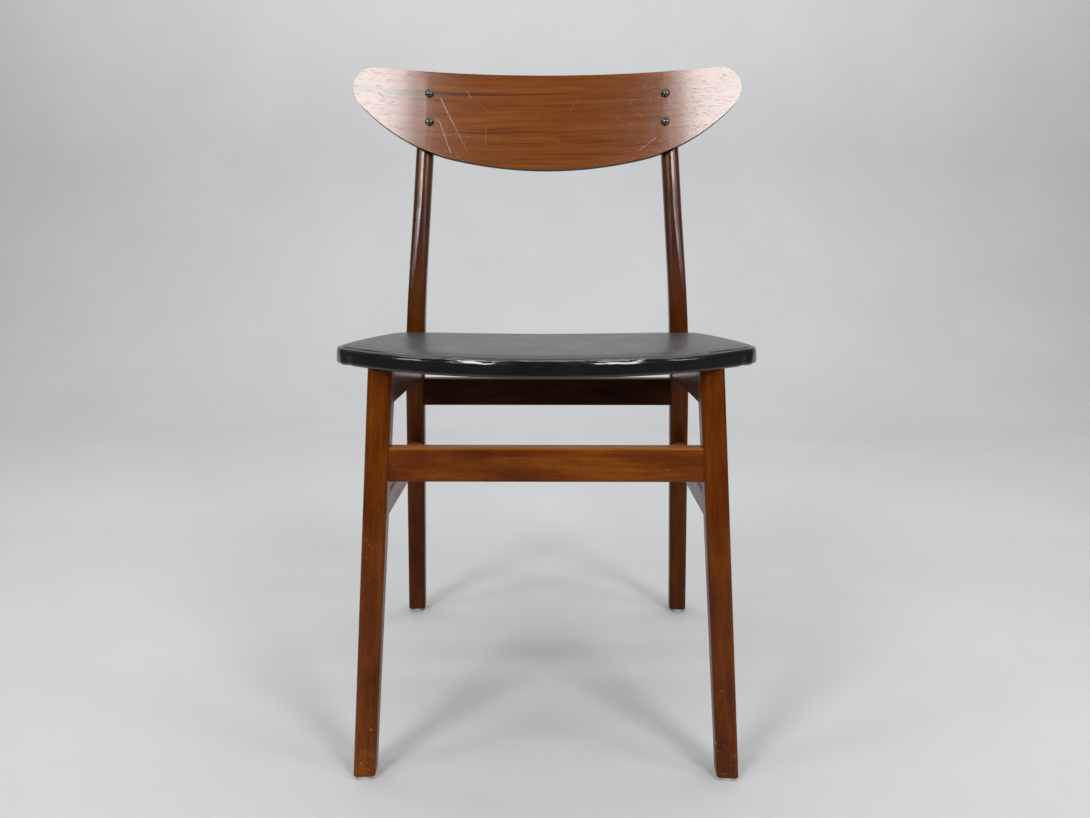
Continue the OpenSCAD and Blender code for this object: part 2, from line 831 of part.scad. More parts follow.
// Nylon disc moulded round a nail's head.
module glide() {
    difference() {
        union() {
            cylinder(d1 = glide_d - 2 * glide_chamfer, d2 = glide_d, h = glide_chamfer);
            translate([0, 0, glide_chamfer])
                cylinder(d = glide_d, h = glide_t - glide_chamfer);
        }
        translate([0, 0, glide_t - 2.2])
            cylinder(d = nail_head + screw_fit, h = 1 + screw_fit);
        translate([0, 0, glide_t - 2])
            cylinder(d = nail_d + screw_fit, h = 3);
    }
}

module nail() {
    translate([0, 0, glide_t - 2.15])
        cylinder(d = nail_head, h = 1);
    translate([0, 0, glide_t - 1.5])
        cylinder(d = nail_d, h = 1.5 + nail_in_leg - 3);
    translate([0, 0, glide_t + nail_in_leg - 3])
        cylinder(d1 = nail_d, d2 = 0.6, h = 3);
}

module nail_hole() {
    cylinder(d = nail_d + screw_fit, h = glide_t + nail_in_leg + 0.3);
}

// ---- Nodes ----
module right_front_leg() {
    difference() {
        front_leg_body();
        above_seat();
        right_rail_dowels(dowel_fit);
        right_stretcher_dowels(dowel_fit);
        right_front_dowels(dowel_fit);
        translate([front_foot[0], front_foot[1], 0])
            nail_hole();
    }
}

module right_rear_leg() {
    difference() {
        rear_leg_body();
        in_back_frame()
            back_shell();
        at_back_screws()
            back_screw_pilot();
        right_rail_dowels(dowel_fit);
        right_stretcher_dowels(dowel_fit);
        right_rear_dowels(dowel_fit);
        translate([rear_foot[0], rear_foot[1], 0])
            nail_hole();
    }
}

module right_side_rail() {
    difference() {
        right_side_rail_blank();
        front_leg_body();
        rear_leg_body();
        above_seat();
        right_rail_dowels(dowel_fit);
        right_seat_screw_holes(seat_screw_d + screw_clear);
        right_seat_screw_bores();
    }
}

module right_side_stretcher() {
    difference() {
        right_side_stretcher_blank();
        front_leg_body();
        rear_leg_body();
        right_stretcher_dowels(dowel_fit);
    }
}

module front_leg_right() {
    color(wood)
        right_front_leg();
}

module front_leg_left() {
    color(wood)
        mirror([1, 0, 0])
            right_front_leg();
}

module rear_leg_right() {
    color(wood)
        right_rear_leg();
}

module rear_leg_left() {
    color(wood)
        mirror([1, 0, 0])
            right_rear_leg();
}

module side_rail_right() {
    color(shade_wood)
        right_side_rail();
}

module side_rail_left() {
    color(shade_wood)
        mirror([1, 0, 0])
            right_side_rail();
}

module side_stretcher_right() {
    color(wood)
        right_side_stretcher();
}

module side_stretcher_left() {
    color(wood)
        mirror([1, 0, 0])
            right_side_stretcher();
}

module front_stretcher() {
    color(wood)
        difference() {
            cross_bar(
                front_stretcher_end + leg_corner,
                front_stretcher_y,
                front_mid_z,
                front_stretcher_t,
                front_stretcher_h
            );
            both_sides() {
                front_leg_body();
                right_front_dowels(dowel_fit);
            }
        }
}

module rear_rail() {
    color(shade_wood)
        difference() {
            cross_bar(
                rear_rail_end + leg_corner,
                rear_rail_y,
                rear_mid_z,
                rear_rail_t,
                rear_rail_h
            );
            both_sides() {
                rear_leg_body();
                right_rear_dowels(dowel_fit);
            }
        }
}

module side_rail_dowels() {
    color(pale_wood)
        both_sides()
            right_rail_dowels(0);
}

module side_stretcher_dowels() {
    color(pale_wood)
        both_sides()
            right_stretcher_dowels(0);
}

module front_stretcher_dowels() {
    color(pale_wood)
        both_sides()
            right_front_dowels(0);
}

module rear_rail_dowels() {
    color(pale_wood)
        both_sides()
            right_rear_dowels(0);
}

module seat_board() {
    color(pale_wood)
        difference() {
            in_seat_frame()
                difference() {
                    seat_layer(cover_t, cover_t, cover_t + board_t);
                    staples_in_seat_frame();
                }
            both_sides()
                right_seat_screw_holes(seat_screw_d + screw_fit);
        }
}

module seat_foam() {
    color([0.86, 0.80, 0.60])
        in_seat_frame()
            seat_layer(cover_t, cover_t + board_t, cover_t + board_t + foam_t);
}

module seat_cover() {
    color(black)
        in_seat_frame()
            difference() {
                seat_layer(0, 0, seat_t);
                seat_layer(cover_t, cover_t, seat_t - cover_t);
                seat_layer(hem_width, -1, cover_t + 1);
                staples_in_seat_frame();
            }
}

module cover_staples() {
    color(steel)
        in_seat_frame()
            staples_in_seat_frame();
}

module seat_screws() {
    color(steel)
        both_sides()
            right_seat_screws();
}

module backrest() {
    color(wood)
        difference() {
            in_back_frame()
                back_shell();
            both_sides()
                at_back_screws()
                    back_screw_hole();
        }
}

module backrest_screws() {
    color(steel)
        both_sides()
            at_back_screws()
                back_screw();
}

module screw_caps() {
    color([0.20, 0.17, 0.14])
        both_sides()
            at_back_screws()
                screw_cap();
}

module glide_front_right() {
    color([0.93, 0.93, 0.90])
        translate([front_foot[0], front_foot[1], 0])
            glide();
}

module glide_front_left() {
    color([0.93, 0.93, 0.90])
        translate([-front_foot[0], front_foot[1], 0])
            glide();
}

module glide_rear_right() {
    color([0.93, 0.93, 0.90])
        translate([rear_foot[0], rear_foot[1], 0])
            glide();
}

module glide_rear_left() {
    color([0.93, 0.93, 0.90])
        translate([-rear_foot[0], rear_foot[1], 0])
            glide();
}

module glide_nails() {
    color(steel)
        both_sides() {
            translate([front_foot[0], front_foot[1], 0])
                nail();
            translate([rear_foot[0], rear_foot[1], 0])
                nail();
        }
}

front_leg_left();
front_leg_right();
rear_leg_left();
rear_leg_right();
side_rail_left();
side_rail_right();
side_stretcher_left();
side_stretcher_right();
front_stretcher();
rear_rail();
side_rail_dowels();
side_stretcher_dowels();
front_stretcher_dowels();
rear_rail_dowels();
seat_board();
seat_foam();
seat_cover();
cover_staples();
seat_screws();
backrest();
backrest_screws();
screw_caps();
glide_front_left();
glide_front_right();
glide_rear_left();
glide_rear_right();
glide_nails();
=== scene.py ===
"""Looks of a dining chair: stained frame, veneered backrest shell and a black padded seat."""
import bpy
import math
import numpy as np
from mathutils import Euler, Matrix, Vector, noise


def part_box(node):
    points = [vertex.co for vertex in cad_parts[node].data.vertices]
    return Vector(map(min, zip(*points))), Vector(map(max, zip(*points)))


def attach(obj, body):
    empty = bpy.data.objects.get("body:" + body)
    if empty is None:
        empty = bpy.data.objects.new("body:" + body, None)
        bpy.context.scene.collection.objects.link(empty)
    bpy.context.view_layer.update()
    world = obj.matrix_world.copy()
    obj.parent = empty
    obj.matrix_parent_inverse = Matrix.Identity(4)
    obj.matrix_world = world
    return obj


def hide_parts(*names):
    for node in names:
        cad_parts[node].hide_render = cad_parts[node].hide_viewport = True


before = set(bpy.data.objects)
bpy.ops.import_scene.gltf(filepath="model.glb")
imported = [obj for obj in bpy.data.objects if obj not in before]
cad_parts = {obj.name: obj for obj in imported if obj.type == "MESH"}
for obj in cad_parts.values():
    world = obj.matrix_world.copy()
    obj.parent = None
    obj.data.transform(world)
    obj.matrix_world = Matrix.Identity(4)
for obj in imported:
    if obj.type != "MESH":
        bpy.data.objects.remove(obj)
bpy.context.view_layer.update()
scene = bpy.context.scene
MM = 0.001

# ---- Design sizes of the seat, in metres, as in the CAD model ----
SEAT_WIDTH = 0.442
SEAT_DEPTH = 0.379
SEAT_WIDEST = 0.134
FRONT_BOW = 0.285
SIDE_BOW = 1.500
SEAT_CORNER = 0.045
SEAT_DISH = 5.200
SEAT_TILT = math.radians(0.9)
SEAT_T = 0.019
BOARD_T = 0.009
COVER_T = 0.001
HEM = 0.022

# ---- Design sizes of the backrest and the legs ----
BACK_RADIUS = 0.613
BACK_T = 0.010
LEAN = math.radians(8)
BEND_HEIGHT = 0.430
# Run of a leg per unit of height: front legs sideways and forward, rear legs away from the bend.
FRONT_SPLAY = 0.0515
FRONT_RAKE = 0.1069
REAR_SLOPE = 0.142
# Where the front stretcher meets a leg, carried down the leg's splay to the floor.
STRETCHER_END = 0.1755


# ---- Camera ----
def make_camera():
    """Wide lens close in front of the chair, a little above the seat, tipped slightly down."""
    sensor, focal_pixels, photo_pixels = 36.0, 819, 1090
    data = bpy.data.cameras.new("camera")
    data.sensor_width = sensor
    data.lens = sensor * focal_pixels / photo_pixels
    data.clip_start = 0.01
    data.clip_end = 50.0
    camera = bpy.data.objects.new("camera", data)
    camera.location = (0.00385, -0.9787, 0.5138)
    camera.rotation_euler = Euler((math.radians(90) - 0.166, 0.0, 0.006))
    scene.collection.objects.link(camera)
    scene.camera = camera


# ---- Procedural materials ----
class Finish:
    """A node material built step by step. Its shader's fixed values are set by name."""

    def __init__(self, name, **fixed):
        self.material = bpy.data.materials.new(name)
        self.material.use_nodes = True
        self.tree = self.material.node_tree
        self.shader = self.tree.nodes["Principled BSDF"]
        for key, value in fixed.items():
            self.shader.inputs[key.replace("_", " ")].default_value = value
        self.place = self.add("TexCoord").outputs["Object"]

    def add(self, kind, wires=(), **settings):
        """A new node with its settings, and a value or a socket for each named input."""
        node = self.tree.nodes.new("ShaderNode" + kind)
        for key, value in settings.items():
            setattr(node, key, value)
        for slot, value in dict(wires).items():
            self.wire(value, node.inputs[slot])
        return node

    def wire(self, value, target):
        if isinstance(value, bpy.types.NodeSocket):
            self.tree.links.new(value, target)
        else:
            target.default_value = value

    def put(self, slot, value):
        self.wire(value, self.shader.inputs[slot])

    def math(self, operation, a, b=0.0, clamp=False):
        node = self.add("Math", {0: a, 1: b}, operation=operation)
        node.use_clamp = clamp
        return node.outputs[0]

    def noise(self, place, scale, detail=3.0, rough=0.5):
        wires = {"Vector": place, "Scale": scale, "Detail": detail, "Roughness": rough}
        return self.add("TexNoise", wires).outputs["Fac"]

    def cells(self, place, scale):
        return self.add("TexVoronoi", {"Vector": place, "Scale": scale}).outputs["Distance"]

    def ramp(self, value, *stops):
        """Value or colour along a value, as (position, grey or colour) stops."""
        node = self.add("ValToRGB", {"Fac": value})
        elements = node.color_ramp.elements
        while len(elements) < len(stops):
            elements.new(0.5)
        for element, (position, colour) in zip(elements, stops):
            element.position = position
            if not hasattr(colour, "__len__"):
                colour = (colour, colour, colour)
            element.color = (*colour, 1.0)
        return node.outputs["Color"]

    def mix(self, factor, a, b, blend="MIX"):
        node = self.add("Mix", data_type="RGBA", blend_type=blend)
        for slot, value in ((0, factor), (6, a), (7, b)):
            if isinstance(value, tuple) and len(value) == 3:
                value = (*value, 1.0)
            self.wire(value, node.inputs[slot])
        return node.outputs[2]

    def stretch(self, place, scale):
        return self.add("Mapping", {"Vector": place, "Scale": scale}, vector_type="TEXTURE").outputs[0]

    def parts(self, place):
        node = self.add("SeparateXYZ", {0: place})
        return node.outputs[0], node.outputs[1], node.outputs[2]

    def join(self, x, y, z):
        return self.add("CombineXYZ", {0: x, 1: y, 2: z}).outputs[0]

    def bump(self, height, distance, strength=1.0, under=None):
        wires = {"Height": height, "Distance": distance, "Strength": strength}
        if under is not None:
            wires["Normal"] = under
        return self.add("Bump", wires).outputs[0]

    def vector(self, operation, a, b=(0.0, 0.0, 0.0), scale=None):
        wires = {0: a, 1: b}
        if scale is not None:
            wires = {0: a, "Scale": scale}
        node = self.add("VectorMath", wires, operation=operation)
        return node.outputs["Value" if operation in ("DOT_PRODUCT", "LENGTH") else "Vector"]

    def scratch(self, place, start, end, width):
        """1 within width of the straight line from start to end, fading to 0."""
        run = Vector(end) - Vector(start)
        at = self.vector("SUBTRACT", place, start)
        along = self.vector("DOT_PRODUCT", at, tuple(run))
        share = self.math("DIVIDE", along, run.length_squared, clamp=True)
        near = self.vector("SCALE", tuple(run), scale=share)
        off = self.vector("LENGTH", self.vector("SUBTRACT", at, near))
        return self.math("SUBTRACT", 1.0, self.math("DIVIDE", off, width), clamp=True)


def shade(colour, painted_light_level):
    """A colour made darker or brighter, with no channel above 1."""
    return tuple(min(1.0, painted_light_level * channel) for channel in colour)


def stained_wood(name, along, painted_light_level=1.0, bend=None, wear=1.0, gloss=0.35, joint=None):
    """Brown-stained beech: streaks and mottling along the member, flecks, chips and scuffs.

    along is the grain's direction; bend is the slope of a member bent at BEND_HEIGHT, whose
    lacquer is worn below the seat and full above it. joint is where a crosswise member meets the
    front legs, and there a painted shadow darkens the seam. painted_light_level scales every colour:
    below 1 it is painted shade, above 1 painted light. Upward faces get a paler painted light."""
    lacquer = 1.65 if bend else 1.45
    finish = Finish(name, Coat_Weight=gloss, Coat_Roughness=0.13, Coat_IOR=lacquer, Specular_IOR_Level=0.05)
    x, y, z = finish.parts(finish.place)
    if bend:
        above = finish.math("MULTIPLY", finish.math("SUBTRACT", z, BEND_HEIGHT), 12.0, clamp=True)
        coat = finish.math("ADD", 0.10 * gloss, finish.math("MULTIPLY", above, 0.9 * gloss))
        finish.put("Coat Weight", coat)
        from_bend = finish.math("ABSOLUTE", finish.math("SUBTRACT", z, BEND_HEIGHT))
        y = finish.math("SUBTRACT", y, finish.math("MULTIPLY", from_bend, bend))
    place = finish.join(x, y, z)
    along = Vector(along).normalized()
    side = along.orthogonal().normalized()
    third = along.cross(side)
    dots = [finish.vector("DOT_PRODUCT", place, tuple(axis)) for axis in (along, side, third)]
    run = finish.math("MULTIPLY", dots[0], 0.07)
    grain = finish.join(run, dots[1], dots[2])
    slow = finish.join(finish.math("MULTIPLY", dots[0], 0.35), dots[1], dots[2])

    blotch = finish.noise(slow, 26.0, detail=4.0, rough=0.6)
    streak = finish.noise(grain, 190.0, detail=5.0, rough=0.65)
    fine = finish.noise(grain, 900.0, detail=2.0)
    # painted_light_level scales every colour of the stain: below 1 painted shade, above 1 painted light.
    dark = shade((0.058, 0.0095, 0.0004), painted_light_level)
    middle = shade((0.118, 0.0250, 0.0008), painted_light_level)
    light = shade((0.185, 0.0520, 0.0022), painted_light_level)
    tone = finish.math("ADD", finish.math("MULTIPLY", blotch, 0.62), finish.math("MULTIPLY", streak, 0.38))
    colour = finish.ramp(tone, (0.34, dark), (0.50, middle), (0.66, light))
    colour = finish.mix(0.35, colour, finish.ramp(fine, (0.3, 0.45), (0.7, 1.0)), "MULTIPLY")

    # Flecks of the beech, short dark dashes along the grain.
    fleck_place = finish.join(finish.math("MULTIPLY", dots[0], 0.22), dots[1], dots[2])
    fleck = finish.ramp(finish.cells(fleck_place, 620.0), (0.16, 1.0), (0.26, 0.0))
    colour = finish.mix(finish.math("MULTIPLY", fleck, 0.30), colour, dark)

    # Chips and rubbed patches show paler wood, most of them near the floor.
    low = finish.ramp(z, (0.0, 1.0), (0.16, 0.0))
    spots = finish.noise(finish.stretch(place, (1.0, 1.0, 1.6)), 380.0, detail=2.0, rough=0.7)
    rarity = finish.math("SUBTRACT", 0.752, finish.math("MULTIPLY", low, 0.085 * wear))
    chip = finish.math("GREATER_THAN", spots, rarity)
    rub_noise = finish.noise(place, 90.0, detail=5.0, rough=0.75)
    rub_start = finish.math("SUBTRACT", 0.66, finish.math("MULTIPLY", low, 0.13))
    rub = finish.math("SUBTRACT", rub_noise, rub_start)
    rub = finish.math("MULTIPLY", rub, 3.0 * wear, clamp=True)
    colour = finish.mix(finish.math("MULTIPLY", rub, 0.55), colour, shade((0.30, 0.13, 0.04), painted_light_level))
    colour = finish.mix(finish.math("MULTIPLY", chip, 0.70), colour, shade((0.46, 0.24, 0.10), painted_light_level))
    # Painted light: upward faces are a little paler, as if lit from above.
    up = finish.parts(finish.add("NewGeometry").outputs["Normal"])[2]
    top = finish.ramp(up, (0.25, 0.0), (0.80, 0.5))
    colour = finish.mix(top, colour, shade((0.34, 0.13, 0.030), painted_light_level))

    # Painted shadow: a thin dark line at the crosswise member's ends, where it meets the front legs.
    if joint:
        width = 1.6 * MM
        off = finish.math("ADD", finish.math("ABSOLUTE", x), finish.math("MULTIPLY", z, FRONT_SPLAY))
        painted_seam_shadow = finish.math("DIVIDE", finish.math("SUBTRACT", off, joint - width), width, clamp=True)
        colour = finish.mix(finish.math("MULTIPLY", painted_seam_shadow, 0.85), colour, (0.014, 0.003, 0.0005))

    rough = finish.ramp(finish.noise(slow, 60.0, detail=4.0), (0.3, 0.30), (0.7, 0.44))
    rough = finish.mix(finish.math("MAXIMUM", rub, chip), rough, (0.62, 0.62, 0.62))
    finish.put("Base Color", colour)
    finish.put("Roughness", rough)
    height = finish.math("ADD", finish.math("MULTIPLY", streak, 0.5), finish.math("MULTIPLY", fine, 0.3))
    height = finish.math("SUBTRACT", height, finish.math("MULTIPLY", chip, 0.6))
    wave = finish.bump(finish.noise(slow, 40.0, detail=2.0), 0.9 * MM, 0.25)
    finish.put("Normal", finish.bump(height, 0.16 * MM, 0.5, wave))
    finish.put("Coat Normal", wave)
    return finish.material


def veneer(name, axis_y, back_top):
    """Teak-like veneer on both faces of the shell, bare plies on its edge darkened as painted shade."""
    finish = Finish(name, Coat_Roughness=0.15, Coat_IOR=1.58, Specular_IOR_Level=0.04)
    x, y, z = finish.parts(finish.place)
    # Position on the sheet: distance round the curve, and height.
    y = finish.math("SUBTRACT", y, axis_y)
    turn = finish.math("MULTIPLY", finish.math("ARCTAN2", x, y), BACK_RADIUS)
    sheet = finish.join(turn, 0.0, z)
    wander = finish.noise(finish.stretch(sheet, (0.30, 1.0, 0.05)), 1.0, detail=2.0)
    lift = finish.math("MULTIPLY", finish.math("SUBTRACT", wander, 0.5), 0.020)
    grain_z = finish.math("ADD", z, lift)
    grain = finish.join(finish.math("MULTIPLY", turn, 0.030), 0.0, grain_z)
    broad = finish.noise(grain, 140.0, detail=4.0, rough=0.62)
    narrow = finish.noise(grain, 620.0, detail=4.0, rough=0.70)
    colour = finish.ramp(
        finish.math("ADD", finish.math("MULTIPLY", broad, 0.6), finish.math("MULTIPLY", narrow, 0.4)),
        (0.33, (0.080, 0.017, 0.0015)),
        (0.45, (0.150, 0.040, 0.0040)),
        (0.55, (0.195, 0.056, 0.0065)),
        (0.68, (0.260, 0.088, 0.0150)),
    )
    # A few dark growth lines run the whole width.
    line_place = finish.join(finish.math("MULTIPLY", turn, 0.010), 0.4, grain_z)
    line = finish.ramp(finish.noise(line_place, 120.0, detail=1.0), (0.655, 0.0), (0.70, 1.0))
    colour = finish.mix(finish.math("MULTIPLY", line, 0.75), colour, (0.055, 0.013, 0.003))
    # Pores: short dark ticks along the grain.
    pore_place = finish.join(finish.math("MULTIPLY", turn, 0.075), 0.0, grain_z)
    pore = finish.ramp(finish.cells(pore_place, 950.0), (0.14, 1.0), (0.24, 0.0))
    colour = finish.mix(finish.math("MULTIPLY", pore, 0.42), colour, (0.05, 0.012, 0.003))
    warm = finish.noise(sheet, 9.0, detail=2.0)
    warmth = finish.ramp(warm, (0.3, (1.0, 0.62, 0.50)), (0.7, (1.0, 1.0, 0.9)))
    colour = finish.mix(0.35, colour, warmth, "MULTIPLY")

    # Scratches in the lacquer in mm: distance round and distance below the top edge at one end,
    # the same at the other end, and the width.
    scratches = (
        (-146, 34, -112, 104, 0.45),
        (-148, 66, -134, 108, 0.40),
        (-84, 72, -86, 94, 0.50),
        (-92, 42, -76, 55, 0.30),
        (-228, 32, -218, 46, 0.45),
        (-110, 22, -104, 34, 0.30),
        (44, 30, 30, 52, 0.30),
        (96, 62, 120, 70, 0.35),
        (150, 88, 128, 104, 0.40),
        (196, 30, 204, 62, 0.35),
        (-12, 84, 18, 90, 0.28),
    )
    wobble = finish.math("SUBTRACT", finish.noise(sheet, 60.0, detail=1.0), 0.5)
    wobble = finish.math("MULTIPLY", wobble, 2.0 * MM)
    bent = finish.join(finish.math("ADD", turn, wobble), 0.0, z)
    scratch = 0.0
    for u0, v0, u1, v1, width in scratches:
        start = (u0 * MM, 0.0, back_top - v0 * MM)
        end = (u1 * MM, 0.0, back_top - v1 * MM)
        scratch = finish.math("MAXIMUM", scratch, finish.scratch(bent, start, end, width * MM))
    colour = finish.mix(finish.math("MULTIPLY", scratch, 0.42), colour, (0.50, 0.27, 0.13))
    nick = finish.math("GREATER_THAN", finish.noise(sheet, 150.0, detail=2.0, rough=0.6), 0.765)
    colour = finish.mix(finish.math("MULTIPLY", nick, 0.7), colour, (0.04, 0.012, 0.004))

    # The edge shows the plies: bands by the distance from the curve's axis, made very dark as painted shade
    # of the edge in shadow.
    from_axis = finish.join(x, y, 0.0)
    depth = finish.math("SUBTRACT", finish.vector("LENGTH", from_axis), BACK_RADIUS)
    normal = finish.add("NewGeometry").outputs["Normal"]
    facing = finish.vector("DOT_PRODUCT", normal, finish.vector("NORMALIZE", from_axis))
    edge = finish.ramp(finish.math("ABSOLUTE", facing), (0.55, 1.0), (0.72, 0.0))
    ply = finish.math("SINE", finish.math("MULTIPLY", depth, 2 * math.pi / (2.8 * MM)))
    ply_bands_and_painted_shade = finish.ramp(
        finish.math("ADD", finish.math("MULTIPLY", ply, 0.35), finish.noise(sheet, 300.0)),
        (0.3, (0.012, 0.004, 0.001)),
        (0.7, (0.060, 0.020, 0.006)),
    )
    colour = finish.mix(edge, colour, ply_bands_and_painted_shade)
    finish.put("Base Color", colour)
    rough = finish.ramp(finish.noise(grain, 150.0, detail=4.0, rough=0.7), (0.3, 0.25), (0.7, 0.42))
    finish.put("Roughness", finish.mix(edge, rough, (0.5, 0.5, 0.5)))
    height = finish.math("MULTIPLY", narrow, 0.55)
    height = finish.math("SUBTRACT", height, finish.math("MULTIPLY", pore, 0.5))
    height = finish.math("SUBTRACT", height, finish.math("MULTIPLY", scratch, 0.6))
    height = finish.math("SUBTRACT", height, finish.math("MULTIPLY", nick, 0.8))
    wave = finish.bump(broad, 0.35 * MM, 0.30)
    finish.put("Normal", finish.bump(height, 0.14 * MM, 0.60, wave))
    finish.put("Coat Normal", finish.bump(height, 0.085 * MM, 0.6, wave))
    finish.put("Coat Weight", finish.math("SUBTRACT", 1.0, finish.math("MULTIPLY", edge, 0.88)))
    return finish.material


def plain_wood(name, axis, pale, deep, plies=False):
    """Bare wood with straight grain along X, Y or Z, for what is inside or underneath."""
    finish = Finish(name, Roughness=0.7)
    scale = [1.0, 1.0, 1.0]
    scale["XYZ".index(axis)] = 18.0
    grain = finish.stretch(finish.place, tuple(scale))
    value = finish.noise(grain, 170.0, detail=5.0, rough=0.6)
    broad = finish.noise(grain, 30.0, detail=3.0)
    tone = finish.math("ADD", finish.math("MULTIPLY", value, 0.5), finish.math("MULTIPLY", broad, 0.5))
    colour = finish.ramp(tone, (0.35, deep), (0.62, pale))
    if plies:
        z = finish.parts(finish.place)[2]
        bands = finish.math("SINE", finish.math("MULTIPLY", z, 2 * math.pi / (3 * MM)))
        colour = finish.mix(finish.math("MULTIPLY", bands, 0.12), colour, deep)
    dust = finish.noise(finish.place, 14.0, detail=5.0, rough=0.7)
    colour = finish.mix(finish.ramp(dust, (0.45, 0.0), (0.75, 0.35)), colour, deep)
    finish.put("Base Color", colour)
    finish.put("Roughness", finish.ramp(value, (0.3, 0.6), (0.7, 0.8)))
    finish.put("Normal", finish.bump(value, 0.2 * MM, 0.5))
    return finish.material


def leatherette():
    """Black coated cloth: fine pebble grain, sat dull on top and glossy round the edge."""
    finish = Finish("leatherette", IOR=1.34, Coat_Roughness=0.08, Coat_IOR=1.8)
    pebble = finish.cells(finish.place, 1500.0)
    swell = finish.noise(finish.place, 30.0, detail=3.0)
    smear = finish.noise(finish.stretch(finish.place, (1.0, 2.5, 1.0)), 24.0, detail=5.0, rough=0.65)
    colour = finish.ramp(smear, (0.35, (0.0035, 0.0035, 0.0040)), (0.70, (0.0075, 0.0075, 0.0080)))
    speck = finish.math("GREATER_THAN", finish.noise(finish.place, 260.0, detail=1.0), 0.80)
    colour = finish.mix(finish.math("MULTIPLY", speck, 0.2), colour, (0.25, 0.25, 0.25))
    up = finish.parts(finish.add("NewGeometry").outputs["Normal"])[2]
    top = finish.ramp(up, (0.75, 0.0), (0.98, 1.0))
    # Painted light: the upward-facing top gets a paler grey base colour, a painted sheen of the light
    # above.
    painted_top_sheen = finish.ramp(smear, (0.35, (0.034, 0.034, 0.036)), (0.70, (0.046, 0.046, 0.048)))
    finish.put("Base Color", finish.mix(top, colour, painted_top_sheen))
    dull = finish.ramp(smear, (0.30, 0.29), (0.70, 0.37))
    shiny = finish.ramp(smear, (0.30, 0.13), (0.70, 0.22))
    finish.put("Roughness", finish.mix(top, shiny, dull))
    finish.put("Coat Weight", finish.math("SUBTRACT", 0.4, finish.math("MULTIPLY", top, 0.4)))
    wave = finish.bump(swell, 0.8 * MM, 0.05)
    finish.put("Normal", finish.bump(pebble, 0.025 * MM, 0.5, wave))
    return finish.material


def metal(name, low, high, rough, scale, bump=0.02):
    """Worn metal whose tone and gloss vary by noise."""
    finish = Finish(name, Metallic=1.0)
    spots = finish.noise(finish.place, scale, detail=5.0, rough=0.65)
    finish.put("Base Color", finish.ramp(spots, (0.35, low), (0.68, high)))
    finish.put("Roughness", finish.ramp(spots, (0.3, rough), (0.7, rough + 0.14)))
    finish.put("Normal", finish.bump(spots, bump * MM, 0.5))
    return finish.material


def nylon():
    """White moulded nylon, scuffed and greyed towards the floor."""
    finish = Finish("nylon", IOR=1.53, Subsurface_Weight=0.15, Subsurface_Scale=0.002)
    z = finish.parts(finish.place)[2]
    grime = finish.noise(finish.place, 350.0, detail=5.0, rough=0.7)
    low = finish.ramp(z, (0.0, 1.0), (0.0030, 0.0))
    amount = finish.math("MULTIPLY", finish.ramp(grime, (0.40, 0.0), (0.70, 0.6)), low)
    colour = finish.ramp(grime, (0.3, (0.80, 0.79, 0.75)), (0.7, (0.90, 0.89, 0.86)))
    finish.put("Base Color", finish.mix(amount, colour, (0.38, 0.36, 0.33)))
    finish.put("Roughness", finish.ramp(grime, (0.3, 0.36), (0.7, 0.55)))
    finish.put("Normal", finish.bump(grime, 0.05 * MM, 0.5))
    return finish.material


def studio_floor():
    """Pale matt sweep with faint rolled marks and a little dust."""
    finish = Finish("studio_floor")
    cloud = finish.noise(finish.place, 2.2, detail=6.0, rough=0.62)
    fine = finish.noise(finish.place, 45.0, detail=4.0, rough=0.6)
    tone = finish.math("ADD", finish.math("MULTIPLY", cloud, 0.75), finish.math("MULTIPLY", fine, 0.25))
    colour = finish.ramp(tone, (0.35, (0.520, 0.521, 0.523)), (0.65, (0.560, 0.560, 0.559)))
    finish.put("Base Color", colour)
    finish.put("Roughness", finish.ramp(fine, (0.3, 0.55), (0.7, 0.75)))
    finish.put("Normal", finish.bump(fine, 0.4 * MM, 0.25))
    return finish.material


# ---- Helpers for pieces ----
def repaint(node, material):
    """Gives a CAD node this material in every slot."""
    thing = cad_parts[node]
    if not thing.material_slots:
        thing.data.materials.append(material)
    for place in thing.material_slots:
        place.link = "OBJECT"
        place.material = material


def soften(node, width, angle):
    """Breaks a CAD node's sharp edges with a small rounded bevel."""
    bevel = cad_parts[node].modifiers.new("soft_edges", "BEVEL")
    bevel.width = width
    bevel.segments = 3
    bevel.limit_method = "ANGLE"
    bevel.angle_limit = math.radians(angle)
    bevel.use_clamp_overlap = True


def make_object(name, points, faces, material):
    mesh = bpy.data.meshes.new(name)
    mesh.from_pydata([tuple(p) for p in points], [], faces)
    mesh.update()
    mesh.polygons.foreach_set("use_smooth", [True] * len(mesh.polygons))
    mesh.materials.append(material)
    thing = bpy.data.objects.new(name, mesh)
    scene.collection.objects.link(thing)
    return thing


# ---- Seat pad ----
def meeting(a, ra, b, rb):
    """One of the two points at distance ra from a and rb from b."""
    gap = np.linalg.norm(b - a)
    s = (gap * gap + ra * ra - rb * rb) / (2 * gap)
    h = math.sqrt(max(0.0, ra * ra - s * s))
    u = (b - a) / gap
    return a + s * u - h * np.array([-u[1], u[0]])


